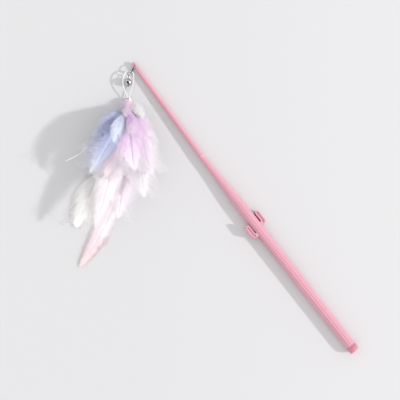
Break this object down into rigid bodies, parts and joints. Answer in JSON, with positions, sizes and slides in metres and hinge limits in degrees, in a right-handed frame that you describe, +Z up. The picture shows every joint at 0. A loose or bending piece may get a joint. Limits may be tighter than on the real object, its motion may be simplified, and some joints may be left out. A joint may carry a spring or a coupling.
{
  "type": "cat teaser wand",
  "caption": "Cat teaser wand: fluted flared handle with winding hooks, slim rod with an eye, oval link, and a feather bunch with a jingle bell on a cord loop.",
  "frame": {"origin": "centre of the flat butt face of the end cap, on the handle's axis", "axes": "+X along the handle from the butt to the tip, +Z up from the surface it lies on, +Y to the side where the feather toy lies"},
  "size_m": [0.42, 0.2035, 0.0451],
  "materials": {
    "pink_plastic": "satin",
    "cap_plastic": "satin",
    "steel_wire": "polished",
    "bell_metal": "polished",
    "pea_steel": "dull",
    "ferrule_metal": "satin",
    "white_cord": "woven",
    "glue": "dull",
    "magenta_down": "fluffy",
    "salmon_feather": "soft",
    "white_left_feather": "soft",
    "lilac_low_feather": "soft",
    "pale_right_feather": "soft",
    "white_long_feather": "soft",
    "lavender_feather": "soft",
    "rose_feather": "soft",
    "right_pink_feather": "soft",
    "periwinkle_feather": "soft",
    "lilac_plume": "soft",
    "light_blue_feather": "soft",
    "mauve_tuft": "soft",
    "white_tuft": "soft",
    "magenta_tuft": "soft"
  },
  "bodies": {
    "wand": {"rod": "pink_plastic", "grip": "pink_plastic", "left_hook": "pink_plastic", "right_hook": "pink_plastic", "end_cap": "cap_plastic"},
    "link": {"oval_link": "steel_wire"},
    "toy": {"cord_loop": "white_cord", "ferrule": "ferrule_metal", "glue_plug": "glue", "down_collar": "magenta_down", "salmon_feather": "salmon_feather", "white_left_feather": "white_left_feather", "lilac_low_feather": "lilac_low_feather", "pale_right_feather": "pale_right_feather", "white_long_feather": "white_long_feather", "lavender_feather": "lavender_feather", "rose_feather": "rose_feather", "right_pink_feather": "right_pink_feather", "periwinkle_feather": "periwinkle_feather", "lilac_plume": "lilac_plume", "light_blue_feather": "light_blue_feather", "mauve_tuft": "mauve_tuft", "white_tuft": "white_tuft", "magenta_tuft": "magenta_tuft"},
    "bell": {"bell_ring": "steel_wire", "bell_upper_shell": "bell_metal", "bell_lower_shell": "bell_metal", "bell_shank": "steel_wire"},
    "pea": {"bell_pea": "pea_steel"}
  },
  "joints": [
    {"name": "link_swing", "type": "hinge", "parent": "wand", "child": "link", "pos_m": [0.4154, -0.0044, -0.0021], "axis": [0, 0, 1], "range_deg": [-245, 20]},
    {"name": "toy_swing", "type": "hinge", "parent": "link", "child": "toy", "pos_m": [0.41224, 0.00344, -0.00178], "axis": [-0.6227, -0.7038, -0.342], "range_deg": [-100, 100]},
    {"name": "bell_swing", "type": "hinge", "parent": "link", "child": "bell", "pos_m": [0.41224, 0.00344, -0.00178], "axis": [-0.6227, -0.7038, -0.342], "range_deg": [-80, 80]},
    {"name": "pea_rattle", "type": "slide", "parent": "bell", "child": "pea", "axis": [0, 0, 1], "range_m": [0, 0.0063]}
  ]
}
